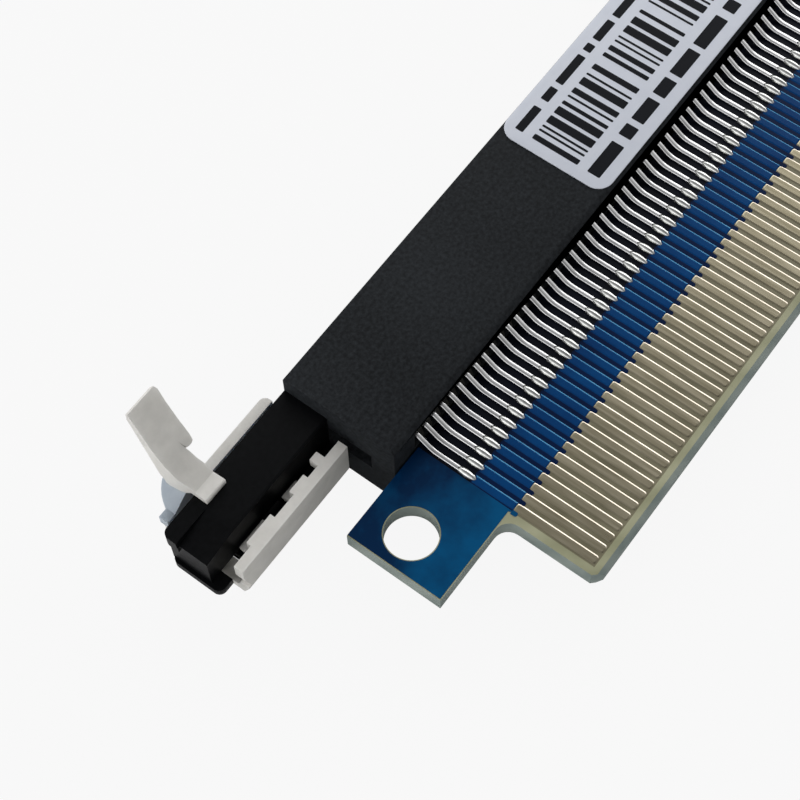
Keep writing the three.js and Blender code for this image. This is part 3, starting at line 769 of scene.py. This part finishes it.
housing_finish = moulded("glass_filled_nylon_black_textured", "#191b1d", "#2d3033", 0.3, 0.65, 0.03, 0.1)
base_finish = moulded("nylon_black_satin", "#040506", "#0a0b0d", 0.4, 0.38, 0.01, 0.12)
latch_finish = moulded("nylon_natural_white", "#dcdad4", "#eae8e2", 1.5, 0.42, 0.01)
nylon_painted_shade = moulded("nylon_natural_painted_shade", "#a9b4c0", "#bcc6ce", 1.5, 0.38, 0.01)
for milky in (latch_finish, nylon_painted_shade):
    shader = milky.node_tree.nodes["Principled BSDF"]
    shader.inputs["Subsurface Weight"].default_value = 0.25
    shader.inputs["Subsurface Radius"].default_value = (1.0, 1.0, 1.0)
    shader.inputs["Subsurface Scale"].default_value = 0.8 * MM
guide_finish = moulded("glass_filled_nylon_grey_rough", "#2c2c2c", "#45443f", 0.25, 0.7, 0.03, 0.15)
print("plastic finishes ready")

# %% [markdown]
# Low guides of rough plastic stand between the tails where they leave the housing
# and keep them a pitch apart. One guide is a block whose outer face slopes with the tails.

# %% Guides between the tails
GUIDE_X = (FIRST_LONG + 0.27, FIRST_LONG + 0.73)
GUIDE_Y = (-4.87, -4.2)
GUIDE_Z = (4.9, 5.9)
GUIDE_LEAN = 0.35
guide = block("guides_front", GUIDE_X, GUIDE_Y, GUIDE_Z)
open_up(guide)
pick("EDGE", lambda at, e: near(at.y, GUIDE_Y[0]) and near(at.z, GUIDE_Z[1]))
bpy.ops.transform.translate(value=(0, GUIDE_LEAN * MM, 0))
pick("EDGE", lambda at, e: at.z > GUIDE_Z[0] + 0.05)
bpy.ops.mesh.bevel(offset=0.06 * MM, segments=1, affect="EDGES")
close_up()
tidy_normals(guide, 30)
both_runs(guide, "guides_front")
for piece in (guide, turned_over(guide, "guides_back")):
    finish_piece(piece, "adapter", "housing_plastic", guide_finish)

# %% Copies of the moulded parts
def whole_copy(node, name):
    piece = copy_of(frame["nodes"][node], name)
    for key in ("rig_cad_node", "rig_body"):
        if key in piece:
            del piece[key]
    piece.parent = None
    piece.matrix_world = Matrix.Identity(4)
    piece.data.materials.clear()
    piece.hide_render = False
    open_up(piece)
    bpy.ops.mesh.select_all(action="SELECT")
    bpy.ops.mesh.customdata_custom_splitnormals_clear()
    bpy.ops.mesh.select_all(action="SELECT")
    bpy.ops.mesh.remove_doubles(threshold=WELD)
    bpy.ops.mesh.dissolve_limited(angle_limit=math.radians(0.5))
    close_up()
    return piece


def round_corners(piece, radius, angle=30, segments=2):
    apply_modifier(piece, "BEVEL", width=radius * MM, segments=segments, limit_method="ANGLE",
                   angle_limit=math.radians(angle), miter_outer="MITER_ARC", use_clamp_overlap=True)
    activate(piece)
    bpy.ops.object.shade_smooth_by_angle(angle=math.radians(50))
    apply_modifier(piece, "WEIGHTED_NORMAL", keep_sharp=True, weight=100)


NEAR_FACE = 0.5
LONG_EDGE = 80.0
HOUSING_CORNER = 0.1
housing = whole_copy("slot_housing", "housing")
open_up(housing)
# The edges at both ends and the edges that run along the housing, by its two wide faces
pick("EDGE", lambda at, e: (at.z > HOUSING_TOP - NEAR_FACE or at.z < NEAR_FACE)
     and (near(abs(at.x), HOUSING_X) or abs(e.verts[0].co.x - e.verts[1].co.x) > LONG_EDGE * MM))
bpy.ops.mesh.bevel(offset=HOUSING_CORNER * MM, segments=2, affect="EDGES")
close_up()
activate(housing)
bpy.ops.object.shade_smooth_by_angle(angle=math.radians(35))
finish_piece(housing, "adapter", "housing_plastic", housing_finish)
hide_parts("slot_housing")

base = whole_copy("latch_base", "latch_base_block")
round_corners(base, 0.12)
finish_piece(base, "adapter", "latch_base_plastic", base_finish)
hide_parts("latch_base")

# A thin black sheet closes the base below the claws: painted shade standing in for the shadow there
SHADE_SHEET_X = (-55.36, -47.4)
SHADE_SHEET_Y = (0.05, 2.0)
SHADE_SHEET_Z = (1.48, 1.63)
shade_sheet = block("latch_base_painted_shade_sheet", SHADE_SHEET_X, SHADE_SHEET_Y, SHADE_SHEET_Z)
open_up(shade_sheet)
pick("EDGE", lambda at, e: abs(e.verts[0].co.z - e.verts[1].co.z) > 0.1 * MM)
bpy.ops.mesh.bevel(offset=0.4 * MM, segments=3, affect="EDGES")
close_up()
tidy_normals(shade_sheet, 30)
finish_piece(shade_sheet, "adapter", "latch_base_plastic", base_finish)

# The bar's upright edges by the housing are well rounded
BAR_END = (-45.3, 6.2)
BAR_CORNER = 0.55
# The foot, where the bluish-grey painted shade goes, ends at these limits
FOOT_X = (-57.1, -52.0)
FOOT_Y = 5.6
FOOT_Z = 6.9
latch = whole_copy("retention_latch", "latch_lever")
open_up(latch)
pick("EDGE", lambda at, e: abs(e.verts[0].co.z - e.verts[1].co.z) > 0.5 * MM
     and at.x > BAR_END[0] and at.y > BAR_END[1])
bpy.ops.mesh.bevel(offset=BAR_CORNER * MM, segments=5, affect="EDGES")
close_up()
round_corners(latch, 0.14)
finish_piece(latch, "latch", "latch_nylon", latch_finish, nylon_painted_shade)
# The foot's faces take the bluish-grey painted shade.
for face in latch.data.polygons:
    at = face.center / MM
    if at.y > FOOT_Y and FOOT_X[0] < at.x < FOOT_X[1] and at.z < FOOT_Z:
        face.material_index = 1
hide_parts("retention_latch")

# %% [markdown]
# The label is a printed film with rounded corners.
# Its print is kept plain: bars and short blocks, no words.

# %% Label finishes
def film(name, base, roughness, shine):
    material, tree, shader = new_material(name, Roughness=roughness, IOR=1.48, Specular_IOR_Level=shine)
    place = add_node(tree, "ShaderNodeTexCoord")
    cloud = add_node(tree, "ShaderNodeTexNoise", values={"Scale": grains(1.2), "Detail": 3.0},
                     links={"Vector": place.outputs["Object"]})
    tint = add_node(tree, "ShaderNodeMixRGB", values={"Color1": linear(base[0]), "Color2": linear(base[1])},
                    links={"Fac": cloud.outputs["Fac"]})
    bump = add_node(tree, "ShaderNodeBump", values={"Strength": 0.1, "Distance": 0.00001},
                    links={"Height": cloud.outputs["Fac"]})
    tree.links.new(tint.outputs["Color"], shader.inputs["Base Color"])
    tree.links.new(bump.outputs["Normal"], shader.inputs["Normal"])
    return material


label_film = film("label_film_satin_white", ("#cdd2dd", "#d8dce5"), 0.45, 0.3)
label_ink = film("label_ink_black", ("#07090f", "#0d1018"), 0.5, 0.1)
print("label finishes ready")

# %% Label
LABEL_X = (-18.3, 18.3)
LABEL_Y = (-4.76, 4.87)
LABEL_CORNER = 1.3
LABEL_FILM = 0.085
label = sheet("label_film", LABEL_X, LABEL_Y, HOUSING_TOP)
open_up(label)
pick("VERT", lambda at, v: True)
bpy.ops.mesh.bevel(offset=LABEL_CORNER * MM, segments=8, affect="VERTICES")
raise_all(LABEL_FILM)
pick("FACE", lambda at, face: at.z > HOUSING_TOP + LABEL_FILM - 0.005)
bpy.ops.mesh.inset(thickness=0.02 * MM, depth=0.005 * MM)
close_up()
tidy_normals(label, 30)
finish_piece(label, "adapter", "label_film", label_film)
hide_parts("label")

# %% Label print
INK_Z = HOUSING_TOP + 0.09
INK_FILM = 0.006
BAR_Y = (-1.75, 2.4)
bar_widths = (0.5, 0.2, 0.2, 0.75, 0.75, 0.35, 0.2, 0.55, 0.75, 0.2, 0.55, 0.4)
bar_gaps = (0.4, 0.45, 0.95, 0.3, 0.3, 0.25, 0.3, 0.35, 0.3, 0.5, 0.3, 0.45)
marks = []
x = LABEL_X[0] + 1.0
i = 0
while x < LABEL_X[1] - 1.6:
    width = bar_widths[i % len(bar_widths)]
    marks.append(((x, x + width), BAR_Y))
    x += width + bar_gaps[(i * 5 + i // len(bar_widths)) % len(bar_gaps)]
    i += 1
block_rows = (
    ((3.25, 3.95), (2.6, 1.4, 3.2, 0.8, 2.2)),
    ((-3.75, -2.65), (3.4, 1.2, 2.4, 1.8, 2.8)),
)
for y_range, lengths in block_rows:
    x = LABEL_X[0] + 1.0
    i = 0
    while x < LABEL_X[1] - 4.4:
        width = lengths[i % len(lengths)]
        marks.append(((x, x + width), y_range))
        x += width + (0.55 if i % 5 else 0.8)
        i += 1
bars = [sheet("mark", x_range, y_range, INK_Z) for x_range, y_range in marks]
bpy.ops.object.select_all(action="DESELECT")
for bar in bars:
    bar.select_set(True)
bpy.context.view_layer.objects.active = bars[0]
bpy.ops.object.join()
ink = bpy.context.active_object
ink.name = "label_print"
open_up(ink)
bpy.ops.mesh.select_all(action="SELECT")
bpy.ops.mesh.bevel(offset=0.08 * MM, segments=2, affect="VERTICES")
raise_all(INK_FILM)
close_up()
tidy_normals(ink)
finish_piece(ink, "adapter", "label_film", label_ink)
